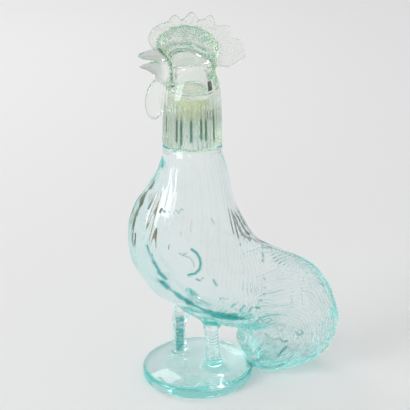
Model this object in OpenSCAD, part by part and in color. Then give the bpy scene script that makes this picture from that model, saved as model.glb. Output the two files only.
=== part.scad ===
// Rooster decanter. The glass bottle is the bird's base, legs, body and tail, with a bottle neck on
// top. The glass head goes over the neck, and a soft stopper inside it seals the bore.
// The bird faces -X, its left side is -Y, and the origin is the middle of the base's underside.

/* [Base and legs] */
// Radius of the round base
base_r = 45.5; // [42:0.5:52]
// Height of the base at its rim
base_rim_h = 8; // [6:0.5:10]
// Height of the base at the top of its dome
base_dome_h = 13.5; // [11.5:0.5:16]
// Radius of the rounded edge round the base
base_edge_r = 2.5; // [1:0.25:3.5]
// Radius of a leg over its rings
leg_r = 5.2; // [4:0.1:6]
// Depth of the grooves between a leg's rings
leg_groove = 0.6; // [0.3:0.1:1]
// Number of rings on a leg
leg_rings = 11; // [6:1:14]
// Radius of a leg's foot, and of its top, where they spread into the glass
leg_spread_r = 7.5; // [6.2:0.1:9]
// Distance of each leg from the bird's middle plane
leg_side = 14; // [11:0.5:17]
// Place of the left foot along the bird
left_foot_x = 12.5; // [9:0.5:16]
// Place of the left leg's top along the bird
left_hip_x = 8; // [4:0.5:12]
// Place of the right foot along the bird
right_foot_x = -14.5; // [-18:0.5:-11]
// Place of the right leg's top along the bird
right_hip_x = -13.5; // [-17:0.5:-10]

/* [Body and tail] */
// Height of the shoulder under the head
shoulder_z = 204; // [195:1:215]
// Height of the belly's underside
belly_z = 43; // [39:0.5:47]
// Height of the tail's lowest feathers
tail_z = 2; // [1:0.5:4]
// Reach of the breast in front of the base's middle
breast_x = 55.3; // [50:0.1:60]
// Reach of the back behind the base's middle, halfway up the body
back_x = 40; // [36:0.5:45]
// Reach of the tail behind the base's middle
tail_x = 119.8; // [112:0.1:128]
// How far the tail's front edge reaches in over the base
tail_lap = 12.5; // [9.5:0.5:15.5]
// Half of the body's width
body_half_w = 39.5; // [36:0.5:44]
// Half of the tail's width
tail_half_w = 25; // [22:0.5:29]
// How pointed the tail is, seen from above, where 1 is round
tail_point = 1.3; // [1:0.05:1.5]
// Radius of the shoulder
shoulder_r = 23.6; // [22:0.2:26]
// Size of the rounded edge round the shoulder's top
shoulder_edge = 2.6; // [1.5:0.1:3.5]
// Thickness of the body's wall
wall = 4.5; // [3.5:0.25:5.5]
// Thickness of the tail's wall
tail_wall = 6.5; // [5:0.25:8]
// Thickness of the glass under the belly, measured upright
floor_t = 8; // [6:0.5:9]

/* [Neck] */
// Place of the neck's axis along the bird
neck_x = -3.5; // [-6:0.5:0]
// Height of the neck over the shoulder
neck_h = 39.5; // [34:0.5:45]
// Outer radius of the neck
neck_r = 13; // [12.2:0.1:13.8]
// Radius of the neck's bore
bore_r = 9.5; // [8:0.1:10.2]
// Height of the lip round the neck's rim
lip_h = 6; // [4:0.5:9]
// How far the lip stands out from the neck
lip_t = 0.8; // [0.4:0.1:1]

/* [Head] */
// Radius of the fluted ruff at its lower edge
ruff_r = 23.5; // [22:0.1:26]
// Radius of the fluted ruff at its upper end
ruff_top_r = 22.3; // [20.5:0.1:24]
// Number of flutes round the ruff
flute_count = 36; // [24:1:44]
// Radius of a flute's groove
flute_r = 1.6; // [1:0.1:2]
// Depth of the flutes
flute_depth = 0.9; // [0.5:0.1:1.3]
// Radius of the hollow that cuts in the throat under the beak
throat_r = 14; // [10:0.5:18]
// Distance of the throat from the neck's axis
throat_x = 17.6; // [17.3:0.1:20]
// Height of the crown over the bottle's rim
crown_h = 53.5; // [48:0.5:60]
// Reach of the brow in front of the neck's axis
brow_x = 26.5; // [24:0.5:29]
// Reach of the crown behind the neck's axis
nape_x = 20.5; // [19:0.5:23]
// Radius of the comb at the notches between its points
comb_r = 35.5; // [33:0.5:38]
// Radius of each point of the comb
comb_point_r = 6.2; // [5:0.1:7]
// Thickness of the comb
comb_t = 6; // [4:0.25:8]
// Reach of the beak in front of the neck's axis
beak_x = 41.3; // [38:0.5:45]
// Height of the lower beak's tip over the bottle's rim
beak_low_h = 24; // [23:0.25:25]
// Height of the upper beak's tip over the bottle's rim
beak_top_h = 33; // [32:0.25:35]
// Radius of each half of the beak at its root in the face
beak_root_r = 5.2; // [4.5:0.1:6]
// Radius of the beak's two tips
beak_tip_r = 1.3; // [1:0.1:1.8]
// Reach of the wattle in front of the neck's axis
wattle_x = 36.5; // [34:0.5:39]
// Height of the wattle's lower end over the shoulder
wattle_h = 20.6; // [17:0.2:25]
// Radius of the wattle's round lower end
wattle_r = 7.3; // [6:0.1:8.5]
// Thickness of the wattle
wattle_t = 6.5; // [4:0.25:8]
// Radius of an eye
eye_r = 2.4; // [1.8:0.1:3]
// Radius of the hollow over the stopper, inside the head
hollow_r = 13; // [10:0.25:13.25]
// Height of that hollow
hollow_h = 23; // [18:0.5:24]

/* [Stopper] */
// Thickness of the stopper's flange
flange_t = 3.5; // [2.5:0.25:5]
// Length of the stopper's skirt, which covers the neck's rim inside the head
skirt_len = 17; // [12:0.5:20]
// Thickness of the skirt
skirt_t = 0.7; // [0.5:0.05:1]
// Gap between the skirt and the neck's lip
skirt_gap = 0.1; // [0.05:0.05:0.2]
// Length of the plug in the neck
plug_len = 18; // [14:0.5:24]
// Thickness of the plug's wall
plug_wall = 2; // [1.4:0.1:3]
// Number of sealing ribs round the plug
rib_count = 3; // [2:1:5]
// How far a rib stands out from the plug
rib_t = 0.7; // [0.4:0.1:1]
// Running clearance of the plug in the bore and of the flange in the head
running_fit = 0.05; // [0.03:0.01:0.08]
// Gap between the ruff's lower edge and the shoulder
seat_gap = 0.4; // [0.3:0.05:0.8]

/* [Hidden] */
$fn = 96;
glass_aqua = [0.75, 0.90, 0.88, 0.6];
glass_green = [0.80, 0.88, 0.78, 0.6];
plastic_cream = [0.90, 0.90, 0.74];
body_sides = 36;
cavity_sides = 28;
crown_sides = 40;
past = 1;
rim_z = shoulder_z + neck_h;
ledge_z = rim_z + flange_t;
ruff_z = shoulder_z + seat_gap;
skirt_r = neck_r + lip_t + skirt_gap;
flange_r = skirt_r + skirt_t;
socket_r = flange_r + running_fit;
hollow_dome = 0.25;
dome_r = (base_r ^ 2 + (base_dome_h - base_rim_h) ^ 2) / (2 * (base_dome_h - base_rim_h));
leg_root = 0.4 * leg_spread_r;
spread_h = 0.6 * leg_spread_r;
tail_front_x = base_r - tail_lap;
breast_z = body_z(0.48);
cavity_low_z = tail_z + 1.3 * tail_wall;
cavity_dome_z = shoulder_z - 0.42 * shoulder_r;
cavity_top_z = shoulder_z - wall;
bore_lap = 0.3;

// Heights in the tail's lower part and in the body, as shares of their own spans
function tail_h(u) = tail_z + u * (belly_z - tail_z);
function body_z(u) = belly_z + u * (shoulder_z - belly_z);

// Places along the tail, as shares of its length behind its front edge and before its end
function tail_front(u) = tail_front_x + u * (tail_x - tail_front_x);
function tail_end(u) = tail_x - u * (tail_x - tail_front_x);

// Places from the back to the tail's end, as shares of the way between them
function back(u) = back_x + u * (tail_x - back_x);

// One row of the body: height, front, back, where the widest place lies between them, half width,
// and how pointed the back is, where 1 is round
body_rows = [
    [tail_h(0), tail_front(0.173), tail_end(0.507), 0.5, tail_half_w * 0.48, 1],
    [tail_h(0.05), tail_front(0.127), tail_end(0.369), 0.47, tail_half_w * 0.66, 1],
    [tail_h(0.13), tail_front(0.104), tail_end(0.253), 0.45, tail_half_w * 0.78, 1.1],
    [tail_h(0.26), tail_front(0.081), tail_end(0.125), 0.46, tail_half_w * 0.87, 1.2],
    [tail_h(0.44), tail_front(0.035), tail_end(0.052), 0.48, tail_half_w * 0.94, tail_point],
    [tail_h(0.67), tail_front_x, tail_end(0.023), 0.5, tail_half_w * 0.98, tail_point],
    [tail_h(0.85), tail_front_x, tail_end(0.008), 0.49, tail_half_w, tail_point],
    [tail_h(0.95), tail_front(-0.058), tail_end(0.001), 0.5, tail_half_w, tail_point],
    [body_z(0), tail_front(-0.184), tail_x, 0.535, tail_half_w, tail_point],
    [body_z(0.013), breast_x * 0.17, tail_end(0.002), 0.56, tail_half_w, tail_point],
    [body_z(0.035), breast_x * 0.036, tail_end(0.013), 0.55, tail_half_w * 1.02, tail_point],
    [body_z(0.068), breast_x * -0.11, tail_end(0.03), 0.53, tail_half_w * 1.06, tail_point],
    [body_z(0.15), breast_x * -0.38, tail_end(0.078), 0.443, body_half_w * 0.785, tail_point],
    [body_z(0.223), breast_x * -0.651, tail_end(0.15), 0.396, body_half_w * 0.886, tail_point],
    [body_z(0.31), breast_x * -0.828, tail_end(0.282), 0.385, body_half_w * 0.962, tail_point],
    [body_z(0.38), breast_x * -0.945, back(0.425), 0.413, body_half_w * 0.995, tail_point],
    [body_z(0.41), breast_x * -0.975, back(0.31), 0.44, body_half_w, tail_point],
    [body_z(0.45), breast_x * -0.995, back(0.17), 0.475, body_half_w * 0.999, tail_point],
    [body_z(0.497), -breast_x, back(0.079), 0.497, body_half_w * 0.987, 1.2],
    [body_z(0.56), breast_x * -0.998, back_x, 0.503, body_half_w * 0.957, 1.1],
    [body_z(0.67), breast_x * -0.914, back(-0.104), 0.505, body_half_w * 0.861, 1],
    [body_z(0.765), breast_x * -0.738, back(-0.158), 0.5, body_half_w * 0.76, 1],
    [body_z(0.87), neck_x - shoulder_r * 1.17, neck_x + shoulder_r * 1.16, 0.5, shoulder_r * 1.12, 1],
    [shoulder_z - 2.7 * shoulder_edge, neck_x - shoulder_r, neck_x + shoulder_r, 0.5, shoulder_r, 1],
    round_edge(90),
    round_edge(40),
    round_edge(0)
];

// Row of the rounded edge round the shoulder's top, at an angle round that edge
function round_edge(a) =
    let (r = shoulder_r - shoulder_edge * (1 - sin(a)))
    [shoulder_z - shoulder_edge * (1 - cos(a)), neck_x - r, neck_x + r, 0.5, r, 1];

// One row of the crown, in the same form, about the neck's axis
crown_rows = [
    [rim_z - lip_h, throat_x * -0.966, ruff_top_r * 0.987, 0.45, ruff_top_r * 0.96, 1],
    [rim_z, throat_x * -0.966, ruff_top_r * 0.987, 0.45, ruff_top_r * 0.96, 1],
    [rim_z + 0.18 * crown_h, throat_x * -0.955, nape_x * 1.02, 0.46, ruff_top_r * 0.875, 1],
    [rim_z + 0.35 * crown_h, throat_x * -0.94, nape_x * 0.878, 0.5, ruff_top_r * 0.785, 1],
    [rim_z + 0.5 * crown_h, brow_x * -0.717, nape_x * 0.868, 0.5, ruff_top_r * 0.695, 1],
    [rim_z + 0.665 * crown_h, brow_x * -0.943, nape_x, 0.5, ruff_top_r * 0.56, 1],
    [rim_z + 0.775 * crown_h, -brow_x, nape_x * 0.902, 0.5, ruff_top_r * 0.47, 1],
    [rim_z + 0.89 * crown_h, brow_x * -0.868, nape_x * 0.634, 0.5, ruff_top_r * 0.404, 1],
    [rim_z + 0.97 * crown_h, brow_x * -0.566, nape_x * 0.22, 0.5, ruff_top_r * 0.29, 1],
    [rim_z + crown_h, brow_x * -0.34, nape_x * -0.073, 0.5, ruff_top_r * 0.135, 1]
];

// Smooth curve through the rows that never swings past them
function step(rows, i, c) = (rows[i + 1][c] - rows[i][c]) / (rows[i + 1][0] - rows[i][0]);
function lean(a, b) = a * b <= 0 ? 0 : 2 * a * b / (a + b);
function slope(rows, i, c) =
    i == 0 ? step(rows, 0, c) :
    i == len(rows) - 1 ? step(rows, i - 1, c) :
    lean(step(rows, i - 1, c), step(rows, i, c));
function span(rows, z) = max([for (i = [0 : len(rows) - 2]) if (i == 0 || z >= rows[i][0]) i]);
function curve(a, b, sa, sb, t) =
    a * (2 * t ^ 3 - 3 * t ^ 2 + 1) + b * (3 * t ^ 2 - 2 * t ^ 3)
    + sa * (t ^ 3 - 2 * t ^ 2 + t) + sb * (t ^ 3 - t ^ 2);
function row_at(rows, z) =
    let (i = span(rows, z), h = rows[i + 1][0] - rows[i][0], t = (z - rows[i][0]) / h)
    [for (c = [0 : 5])
        curve(rows[i][c], rows[i + 1][c], slope(rows, i, c) * h, slope(rows, i + 1, c) * h, t)];

// Egg-shaped outline of a row: a half ellipse in front of its widest place, and one that may be
// pointed behind it
function middle(row) = row[1] + row[3] * (row[2] - row[1]);
function egg(row, sides) =
    let (m = middle(row))
    [for (j = [0 : sides - 1])
        let (c = cos(360 * j / sides), s = sin(360 * j / sides), point = c < 0 ? 1 : row[5])
        [m + c * (c < 0 ? m - row[1] : row[2] - m), row[4] * sign(s) * abs(s) ^ point, row[0]]];
function within(row, x, y) =
    let (
        m = middle(row),
        reach = x < m ? m - row[1] : row[2] - m,
        point = x < m ? 1 : row[5]
    )
    abs(y) < row[4] * max(1 - ((x - m) / reach) ^ 2, 0) ^ (point / 2);

// Height of the belly's underside over a place on the base
function under_belly(x, y, low = belly_z, high = breast_z, steps = 20) =
    let (z = (low + high) / 2)
    steps == 0 ? z :
    within(row_at(body_rows, z), x, y) ? under_belly(x, y, low, z, steps - 1) :
    under_belly(x, y, z, high, steps - 1);

// Heights of a loft's rings: its rows, with some rings between each two
function levels(rows, parts) = [
    for (i = [0 : len(rows) - 2], k = [0 : parts - 1])
        rows[i][0] + k / parts * (rows[i + 1][0] - rows[i][0]),
    rows[len(rows) - 1][0]
];

// Rows of the body's hollow, a wall inside the body, closing to the neck's bore at its top
function share(z, low, high) = min(max((z - low) / (high - low), 0), 1);
function cavity_row(z) =
    let (
        outer = row_at(body_rows, z),
        lift = floor_t * (1 - share(z, body_z(0.23), breast_z)),
        under = row_at(body_rows, max(z - lift, tail_z)),
        back_wall = tail_wall + (wall - tail_wall) * share(z, body_z(0.38), body_z(0.6))
    )
    [z, max(outer[1], under[1]) + wall, outer[2] - back_wall, outer[3], outer[4] - back_wall, outer[5]];
function toward_bore(row, z, k) =
    let (r = bore_r - bore_lap, m = middle(row) * k + neck_x * (1 - k))
    [z, m - r - (m - r - row[1]) * k, m + r + (row[2] - m - r) * k, 0.5, r + (row[4] - r) * k, 1];
cavity_low = cavity_row(cavity_low_z + 2 * past);
cavity_edge = cavity_row(cavity_dome_z);
cavity_rows = concat(
    [[cavity_low_z, cavity_low[1] + tail_wall, cavity_low[2] - tail_wall, cavity_low[3],
        cavity_low[4] - tail_wall, 1]],
    [for (z = levels(body_rows, 1))
        if (z > cavity_low_z + past && z < cavity_dome_z - 3 * past) cavity_row(z)],
    [for (a = [0 : 15 : 90])
        toward_bore(cavity_edge, cavity_dome_z + (cavity_top_z - cavity_dome_z) * sin(a), cos(a))]
);

// Closed solid through rings of points with equal counts, from the lowest ring to the highest
module loft(rings) {
    n = len(rings[0]);
    top = (len(rings) - 1) * n;
    sides = [
        for (i = [0 : len(rings) - 2], j = [0 : n - 1])
            let (a = i * n + j, b = i * n + (j + 1) % n)
            each [[a, a + n, b + n], [a, b + n, b]]
    ];
    ends = [[for (j = [0 : n - 1]) j], [for (j = [n - 1 : -1 : 0]) top + j]];
    polyhedron(points = [for (ring = rings) each ring], faces = concat(sides, ends));
}

// Round base with a rounded edge and a low dome, standing on its flat underside
module base() {
    intersection() {
        rotate_extrude() {
            square([base_r - base_edge_r, base_dome_h]);
            square([base_r, base_rim_h - base_edge_r]);
            translate([base_r - base_edge_r, base_rim_h - base_edge_r])
                circle(base_edge_r);
        }
        translate([0, 0, base_dome_h - dome_r])
            sphere(dome_r, $fn = 240);
    }
}

// Leg with rounded rings, from the base's dome up into the glass under the belly
module leg(foot_x, hip_x, side) {
    foot_z = base_dome_h - dome_r + sqrt(dome_r ^ 2 - foot_x ^ 2 - leg_side ^ 2);
    hip_z = under_belly(hip_x, side * leg_side);
    long = norm([hip_x - foot_x, hip_z - foot_z]);
    pitch = (long - 2 * spread_h) / leg_rings;
    rings = [
        for (i = [0 : 6 * leg_rings])
            [leg_r - leg_groove * (1 - abs(sin(30 * i))), spread_h + i / 6 * pitch]
    ];
    foot = [
        for (a = [0 : 15 : 75])
            [leg_spread_r - (leg_spread_r - leg_r + leg_groove) * sin(a), spread_h * (1 - cos(a))]
    ];
    hip = [for (i = [len(foot) - 1 : -1 : 0]) [foot[i][0], long - foot[i][1]]];
    outline = concat(
        [[0, -leg_root], [leg_spread_r, -leg_root]], foot, rings, hip,
        [[leg_spread_r, long + floor_t + leg_root], [0, long + floor_t + leg_root]]
    );
    translate([foot_x, side * leg_side, foot_z])
        rotate([0, atan2(hip_x - foot_x, hip_z - foot_z), 0])
            rotate_extrude()
                polygon(outline);
}

// Neck with a rounded lip at its rim
module neck() {
    root = shoulder_z - wall / 2;
    translate([neck_x, 0, 0])
        rotate_extrude() {
            translate([0, root])
                square([neck_r, rim_z - root]);
            translate([0, rim_z - lip_h + lip_t])
                square([neck_r + lip_t, lip_h - 2 * lip_t]);
            for (z = [rim_z - lip_h + lip_t, rim_z - lip_t])
                translate([neck_r, z])
                    circle(lip_t);
        }
}

module bottle() {
    color(glass_aqua)
        difference() {
            union() {
                loft([for (z = levels(body_rows, 2)) egg(row_at(body_rows, z), body_sides)]);
                base();
                leg(left_foot_x, left_hip_x, -1);
                leg(right_foot_x, right_hip_x, 1);
                neck();
            }
            loft([for (row = cavity_rows) egg(row, cavity_sides)]);
            translate([neck_x, 0, cavity_top_z - wall])
                cylinder(r = bore_r, h = rim_z - cavity_top_z + wall + past);
        }
}

// Soft stopper: a flange on the rim with a thin skirt round it, and a hollow plug with sealing ribs
module stopper() {
    plug_r = bore_r - running_fit - rib_t;
    rib_pitch = plug_len / (rib_count + 1);
    color(plastic_cream)
        translate([neck_x, 0, rim_z])
            difference() {
                union() {
                    cylinder(r = flange_r, h = flange_t);
                    difference() {
                        translate([0, 0, -skirt_len])
                            cylinder(r = flange_r, h = skirt_len + flange_t / 2);
                        translate([0, 0, -skirt_len - past])
                            cylinder(r = skirt_r, h = skirt_len + past);
                    }
                    translate([0, 0, -plug_len])
                        cylinder(r = plug_r, h = plug_len + flange_t / 2);
                    for (i = [1 : rib_count])
                        translate([0, 0, -i * rib_pitch])
                            cylinder(r1 = plug_r, r2 = plug_r + rib_t, h = rib_pitch / 3);
                    for (i = [1 : rib_count])
                        translate([0, 0, -i * rib_pitch + rib_pitch / 3])
                            cylinder(r = plug_r + rib_t, h = rib_t);
                }
                translate([0, 0, -plug_len - past])
                    cylinder(r = plug_r - plug_wall, h = plug_len + past);
            }
}

// Fluted ruff that covers the neck, with the throat cut in under the beak
module ruff() {
    ruff_h = rim_z - ruff_z;
    taper = atan2(ruff_r - ruff_top_r, ruff_h);
    difference() {
        translate([0, 0, ruff_z])
            cylinder(r1 = ruff_r, r2 = ruff_top_r, h = ruff_h);
        for (i = [0 : flute_count - 1])
            rotate(360 * (i + 0.5) / flute_count)
                translate([ruff_r + flute_r - flute_depth, 0, ruff_z])
                    rotate([0, -taper, 0])
                        translate([0, 0, -past])
                            cylinder(r = flute_r, h = ruff_h + 3 * past, $fn = 32);
        translate([-throat_x - throat_r, 0, rim_z])
            rotate([90, 0, 0])
                cylinder(r = throat_r, h = 4 * ruff_r, center = true);
    }
}

// Serrated comb: a disc with round points along its edge, cut off over the beak and at the nape
module comb() {
    first_point = 25;
    point_step = 20.75;
    brow_point = 137;
    nape_point = 6;
    brow_z = 0.42 * comb_r;
    nape_z = -0.07 * comb_r;
    rotate([90, 0, 0])
        linear_extrude(comb_t, center = true)
            translate([0, rim_z + 0.44 * crown_h])
                intersection() {
                    union() {
                        circle(comb_r);
                        for (i = [0 : 4])
                            rotate(first_point + i * point_step)
                                translate([0.986 * comb_r, 0])
                                    circle(comb_point_r);
                        rotate(brow_point)
                            translate([0.87 * comb_r, 0])
                                circle(1.6 * comb_point_r);
                        rotate(nape_point)
                            translate([comb_r, 0])
                                circle(comb_point_r);
                    }
                    polygon([
                        [-2 * comb_r, brow_z], [-brow_x / 2, brow_z], [0, nape_z],
                        [0.83 * comb_r, nape_z], [2 * comb_r, 0.225 * comb_r],
                        [2 * comb_r, 2 * comb_r], [-2 * comb_r, 2 * comb_r]
                    ]);
                }
}

// One half of the open beak, from its root in the face to its tip
module beak_half(tip_h, root_h) {
    root_x = 1.06 * beak_root_r - brow_x;
    mid_x = -0.77 * beak_x;
    hull() {
        translate([root_x, 0, rim_z + root_h])
            sphere(beak_root_r, $fn = 24);
        translate([mid_x, 0, rim_z + (root_h + 2 * tip_h) / 3])
            sphere(0.6 * beak_root_r, $fn = 24);
        translate([beak_tip_r - beak_x, 0, rim_z + tip_h])
            sphere(beak_tip_r, $fn = 24);
    }
}

// Wattle: a drop-shaped leaf of glass that hangs from the beak's root against the throat
module wattle() {
    low_z = shoulder_z + wattle_h;
    rotate([90, 0, 0])
        linear_extrude(wattle_t, center = true)
            hull() {
                translate([wattle_r - wattle_x, low_z + wattle_r])
                    circle(wattle_r, $fn = 32);
                translate([-0.8 * brow_x, rim_z + 0.33 * crown_h])
                    circle(0.98 * wattle_r, $fn = 32);
                translate([-0.886 * throat_x, low_z + 1.92 * wattle_r])
                    circle(0.4 * wattle_r, $fn = 32);
            }
}

module head() {
    color(glass_green)
        translate([neck_x, 0, 0])
            difference() {
                union() {
                    ruff();
                    loft([for (z = levels(crown_rows, 2)) egg(row_at(crown_rows, z), crown_sides)]);
                    comb();
                    beak_half(beak_top_h, 0.6 * crown_h);
                    beak_half(beak_low_h, 0.4 * crown_h);
                    wattle();
                    for (side = [-1, 1])
                        translate([-0.08 * brow_x, side * 0.46 * ruff_top_r, rim_z + 0.77 * crown_h])
                            sphere(eye_r, $fn = 32);
                }
                translate([0, 0, ruff_z - past])
                    cylinder(r = socket_r, h = ledge_z - ruff_z + past);
                translate([0, 0, ledge_z - past])
                    cylinder(r = hollow_r, h = hollow_h - hollow_dome * hollow_r + past);
                translate([0, 0, ledge_z + hollow_h - hollow_dome * hollow_r])
                    scale([1, 1, hollow_dome]) sphere(hollow_r);
            }
}

bottle();
stopper();
head();
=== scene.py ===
import math

import bmesh
import bpy
import numpy as np
import openvdb
from mathutils import Matrix, Vector


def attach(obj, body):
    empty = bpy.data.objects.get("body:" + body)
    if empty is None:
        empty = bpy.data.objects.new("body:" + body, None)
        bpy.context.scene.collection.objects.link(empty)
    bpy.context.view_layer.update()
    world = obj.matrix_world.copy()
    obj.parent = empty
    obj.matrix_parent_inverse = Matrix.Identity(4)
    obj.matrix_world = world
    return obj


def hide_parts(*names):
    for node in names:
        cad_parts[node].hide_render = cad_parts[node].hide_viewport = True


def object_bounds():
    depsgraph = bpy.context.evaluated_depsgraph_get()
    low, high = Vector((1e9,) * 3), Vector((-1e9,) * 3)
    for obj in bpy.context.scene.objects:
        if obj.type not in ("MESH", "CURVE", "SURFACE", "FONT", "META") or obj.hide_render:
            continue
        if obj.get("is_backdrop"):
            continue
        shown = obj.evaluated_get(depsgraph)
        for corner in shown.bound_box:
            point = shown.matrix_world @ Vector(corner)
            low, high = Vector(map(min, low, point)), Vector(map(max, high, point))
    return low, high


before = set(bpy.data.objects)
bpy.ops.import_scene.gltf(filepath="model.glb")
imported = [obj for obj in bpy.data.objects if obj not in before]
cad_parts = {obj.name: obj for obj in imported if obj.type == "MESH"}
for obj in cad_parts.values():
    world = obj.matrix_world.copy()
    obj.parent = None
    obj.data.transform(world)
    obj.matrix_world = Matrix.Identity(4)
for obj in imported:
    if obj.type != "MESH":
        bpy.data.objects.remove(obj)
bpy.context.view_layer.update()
scene = bpy.context.scene

# Studio: a floor of pale paper in an even pale room, a tall soft window of light on the bird's breast side
# and two weak lamps. The camera stands at the photograph's angle. Lengths in this file are in mm.
MM = 0.001
scene.view_settings.view_transform = "Standard"
light_bounces = 64
scene.cycles.blur_glossy = 0.0
scene.cycles.max_bounces = light_bounces
scene.cycles.transmission_bounces = light_bounces
scene.cycles.glossy_bounces = light_bounces

room_strength = 0.7
world = bpy.data.worlds.new("pale_room")
scene.world = world
world.use_nodes = True
room = world.node_tree.nodes["Background"]
room.inputs["Color"].default_value = (1.0, 1.0, 1.0, 1)
room.inputs["Strength"].default_value = room_strength


def stage_sheet(name, corners, finish_name, colour, roughness):
    """A flat sheet of the studio in one matt colour, which isn't part of the bird."""
    mesh = bpy.data.meshes.new(name)
    mesh.from_pydata([Vector(corner) * MM for corner in corners], [], [tuple(range(len(corners)))])
    sheet = bpy.data.objects.new(name, mesh)
    scene.collection.objects.link(sheet)
    finish = bpy.data.materials.new(finish_name)
    finish.use_nodes = True
    shader = finish.node_tree.nodes["Principled BSDF"]
    shader.inputs["Base Color"].default_value = (*colour, 1)
    shader.inputs["Roughness"].default_value = roughness
    mesh.materials.append(finish)
    sheet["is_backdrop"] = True
    return sheet


paper_edge, paper_z, paper_grey, paper_roughness = 4000, -0.3, (0.83, 0.83, 0.83), 0.9
paper_corners = [(a * paper_edge, b * paper_edge, paper_z) for a, b in ((-1, -1), (1, -1), (1, 1), (-1, 1))]
stage_sheet("paper_floor", paper_corners, "pale_paper", paper_grey, paper_roughness)


def softbox(name, place, aim, width, height, watts):
    """A rectangular lamp that looks from its place to its aim."""
    lamp = bpy.data.lights.new(name, "AREA")
    lamp.shape = "RECTANGLE"
    lamp.size, lamp.size_y = width * MM, height * MM
    lamp.energy = watts
    box = bpy.data.objects.new(name, lamp)
    place, aim = Vector(place) * MM, Vector(aim) * MM
    turned = (aim - place).to_track_quat("-Z", "Y").to_matrix().to_4x4()
    box.matrix_world = Matrix.Translation(place) @ turned
    scene.collection.objects.link(box)


softbox("window_light", place=(-3300, -1155, 1320), aim=(0, 0, 120), width=1725, height=1875, watts=56)
softbox("back_light", place=(-400, 1100, 1150), aim=(-300, 800, 0), width=700, height=450, watts=3.2)
softbox("front_light", place=(-500, -1250, 900), aim=(0, 0, 100), width=350, height=500, watts=1.0)


def dark_card(name, colour, corners):
    """A dark card that shows only in the glass, as the dark edges of a studio do."""
    card = stage_sheet(name, corners, name, colour, 1.0)
    card.visible_camera = card.visible_diffuse = card.visible_shadow = False


brown, black = (0.2, 0.12, 0.05), (0.03, 0.03, 0.03)
breast_card_y, back_card_y = 60, 70
breast_card = [
    (-45, 86), (-46, 100), (-49, 112), (-45, 140), (-52, 150), (-60, 148),
    (-78, 132), (-64, 114), (-59, 107), (-62, 97), (-50, 86),
]
back_card = [(98, 100), (112, 98), (122, 124), (116, 132), (100, 120)]
tail_card = [(63, 106), (74, 90), (82, 92), (78, 112), (78, 130), (64, 122)]
dark_card("breast_card", brown, [(x, breast_card_y, z) for x, z in breast_card])
dark_card("back_card", black, [(x, back_card_y, z) for x, z in back_card])
dark_card("tail_card", black, [(x, back_card_y, z) for x, z in tail_card])
dark_card("head_card", black, [(52, 52, 201), (74, 8, 204), (74, 8, 212), (52, 52, 211)])

image_px, focal_px, sensor = 410, 1323.5, 36
camera_away, camera_high = 972.7, 558.5
around, aside, down = math.radians(-8), math.atan2(-8.73, focal_px), math.radians(22.726)
camera_data = bpy.data.cameras.new("photo_camera")
camera_data.sensor_width = sensor
camera_data.lens = sensor * focal_px / image_px
camera_data.clip_start = 10 * MM
camera = bpy.data.objects.new("photo_camera", camera_data)
scene.collection.objects.link(camera)
scene.camera = camera
ahead = Vector((-math.sin(around), math.cos(around), 0))
right = Vector((math.cos(around), math.sin(around), 0))
level = ahead * math.cos(aside) - right * math.sin(aside)
right = right * math.cos(aside) + ahead * math.sin(aside)
look = level * math.cos(down) - Vector((0, 0, 1)) * math.sin(down)
up = right.cross(look)
spot = Vector((camera_away * math.sin(around), -camera_away * math.cos(around), camera_high)) * MM
camera.matrix_world = Matrix.Translation(spot) @ Matrix((right, up, -look)).transposed().to_4x4()

# Bottle: one moulding of pale aqua glass, with the round base, two ringed legs, the hollow body, the
# feathered tail and the neck that goes up into the head. It is blown in a mould, which gives it its marks.
base_r, base_top, base_dome_r = 45.5, 13.5, 191.0
near_foot, near_hip, near_radii, near_ring = (12.6, -14, 10), (8.3, -14, 58), (5.3, 4.9), 0.7
far_foot, far_hip, far_radii, far_ring = (-13.6, 14, 10), (-13.2, 14, 58), (4.4, 4.4), 1.2
far_knee, far_thigh, thigh_radii = (-13, 14, 42), (-9, 13, 52), (3.5, 6.5)
ring_pitch, ring_z, ring_low, ring_high, ring_fade = 2.75, 13, 15, 50, 4
foot_z, foot_high, foot_flare = 12, 22, 2.5
neck_x, rim_z, neck_r, bore_r = -3.5, 243.5, 13.0, 9.5
lip_z, lip_half, lip_out = 240.5, 3.0, 0.8
neck_low, bore_low = 200, 190

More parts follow.
